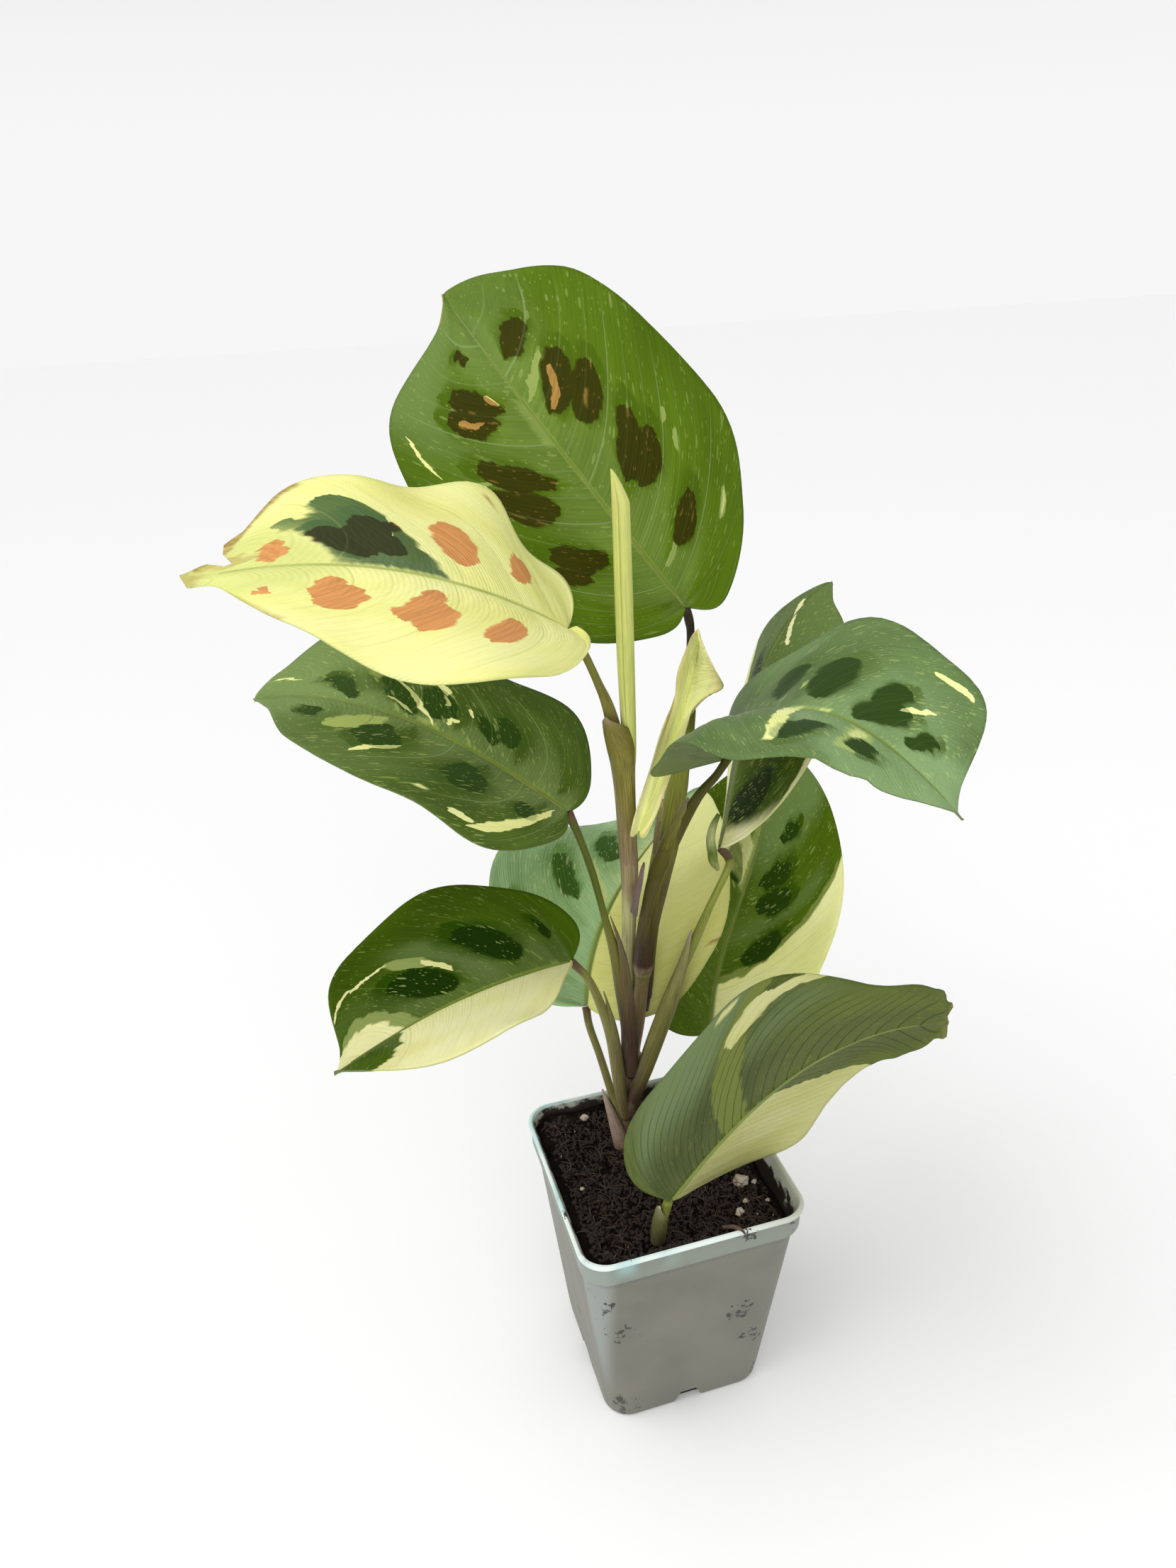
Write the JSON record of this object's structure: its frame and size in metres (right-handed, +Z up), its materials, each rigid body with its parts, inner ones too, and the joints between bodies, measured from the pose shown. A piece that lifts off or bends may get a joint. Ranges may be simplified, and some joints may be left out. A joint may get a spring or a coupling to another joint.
{
  "type": "potted house plant",
  "caption": "Prayer plant with broad oval leaves, patched green and cream, on arching stalks above a small square plastic nursery pot filled with peat.",
  "frame": {"origin": "middle of the pot's flat underside, which rests on the surface below", "axes": "+Z up through the pot, -Y towards the pot's front face, +X to the right seen from the front"},
  "size_m": [0.192, 0.1468, 0.331],
  "materials": {
    "pot_plastic": "thin moulded plastic, slightly satin",
    "peat": "loose damp peat, matt",
    "cane": "smooth fleshy stem",
    "stalk": "smooth green stalk",
    "blade_green": "satin leaf",
    "blade_blue_green": "satin leaf",
    "blade_half_cream": "satin leaf",
    "blade_cream": "satin leaf",
    "young_leaf": "soft young leaf",
    "bract": "dry papery bract"
  },
  "bodies": {
    "root": {"pot": "pot_plastic", "soil": "peat", "cane": "cane", "stalk_top": "stalk", "stalk_cream": "stalk", "stalk_middle_left": "stalk", "stalk_low_left": "stalk", "stalk_rear": "stalk", "stalk_rear_right": "stalk", "stalk_steep": "stalk", "stalk_near_right": "stalk", "stalk_front": "stalk", "stalk_young": "stalk", "blade_top": "blade_green", "blade_cream": "blade_cream", "blade_middle_left": "blade_green", "blade_low_left": "blade_green", "blade_rear": "blade_half_cream", "blade_rear_right": "blade_half_cream", "blade_front": "blade_blue_green", "blade_steep": "blade_green", "blade_near_right": "blade_blue_green", "blade_young": "young_leaf", "rolled_leaf": "young_leaf", "bract": "bract"}
  },
  "joints": []
}
